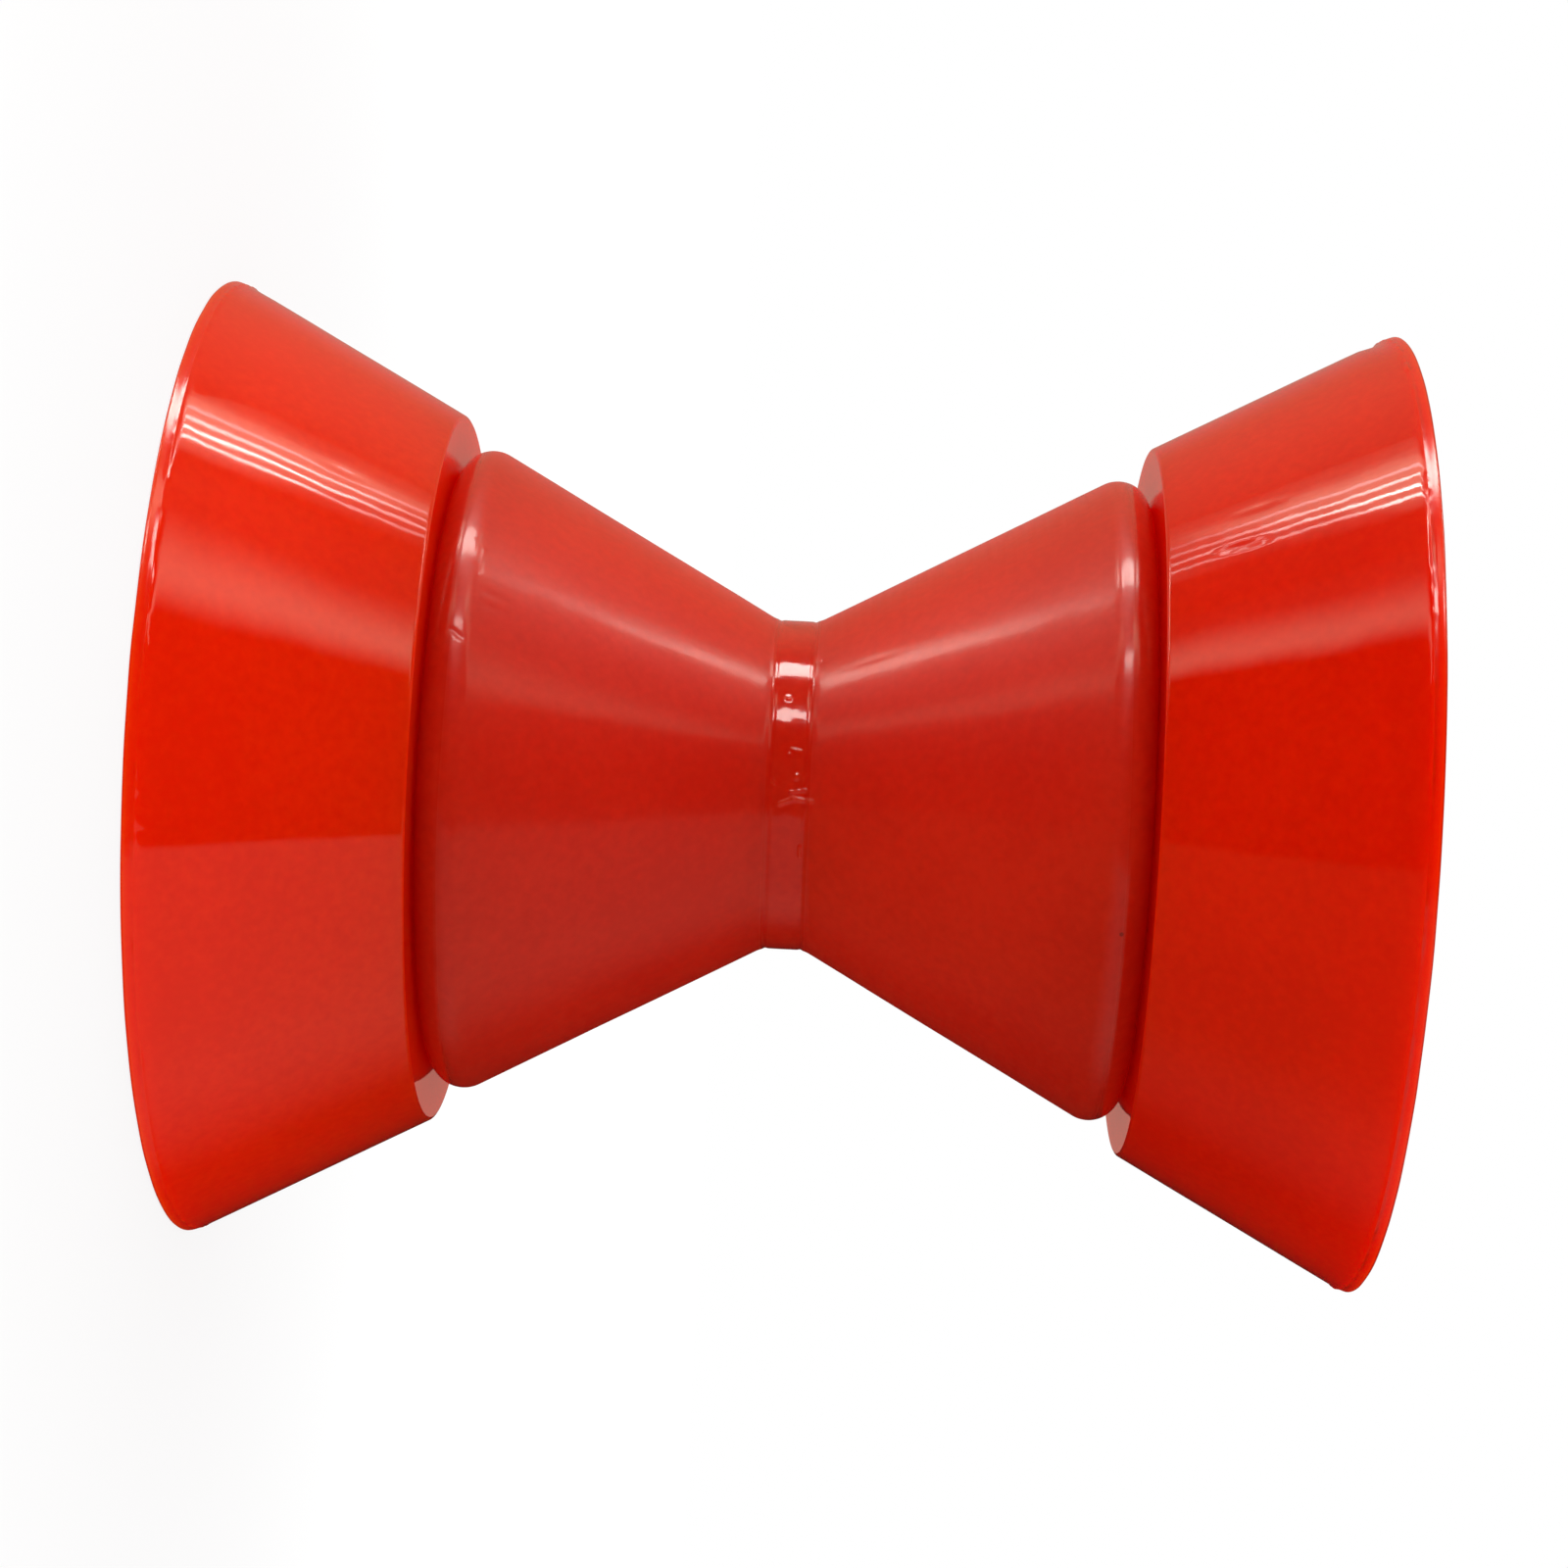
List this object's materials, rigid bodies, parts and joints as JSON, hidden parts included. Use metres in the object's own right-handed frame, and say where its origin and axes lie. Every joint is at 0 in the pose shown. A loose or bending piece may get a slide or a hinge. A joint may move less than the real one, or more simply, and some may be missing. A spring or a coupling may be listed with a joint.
{
  "type": "boat trailer bow roller set",
  "caption": "V-shaped centre roller between two conical end bells, in glossy soft red plastic, with one plain through bore for the trailer bracket's shaft.",
  "frame": {"origin": "on the shaft axis, at the middle of the centre roller, which is also the middle of the set", "axes": "+Z along the shaft axis; the set stands on the lower bell's outer face, at -Z; X and Y are alike"},
  "size_m": [0.1064, 0.1064, 0.1288],
  "materials": {
    "roller_plastic": "gloss",
    "bell_plastic": "gloss"
  },
  "bodies": {
    "roller": {"bow_roller": "roller_plastic"},
    "bell_lower": {"end_bell_lower": "bell_plastic"},
    "bell_upper": {"end_bell_upper": "bell_plastic"}
  },
  "joints": [
    {"name": "lower_bell_spin", "type": "hinge", "parent": "roller", "child": "bell_lower", "pos_m": [0, 0, -0.0514], "axis": [0, 0, 1], "continuous": true},
    {"name": "upper_bell_spin", "type": "hinge", "parent": "roller", "child": "bell_upper", "pos_m": [0, 0, 0.0514], "axis": [0, 0, 1], "continuous": true}
  ]
}
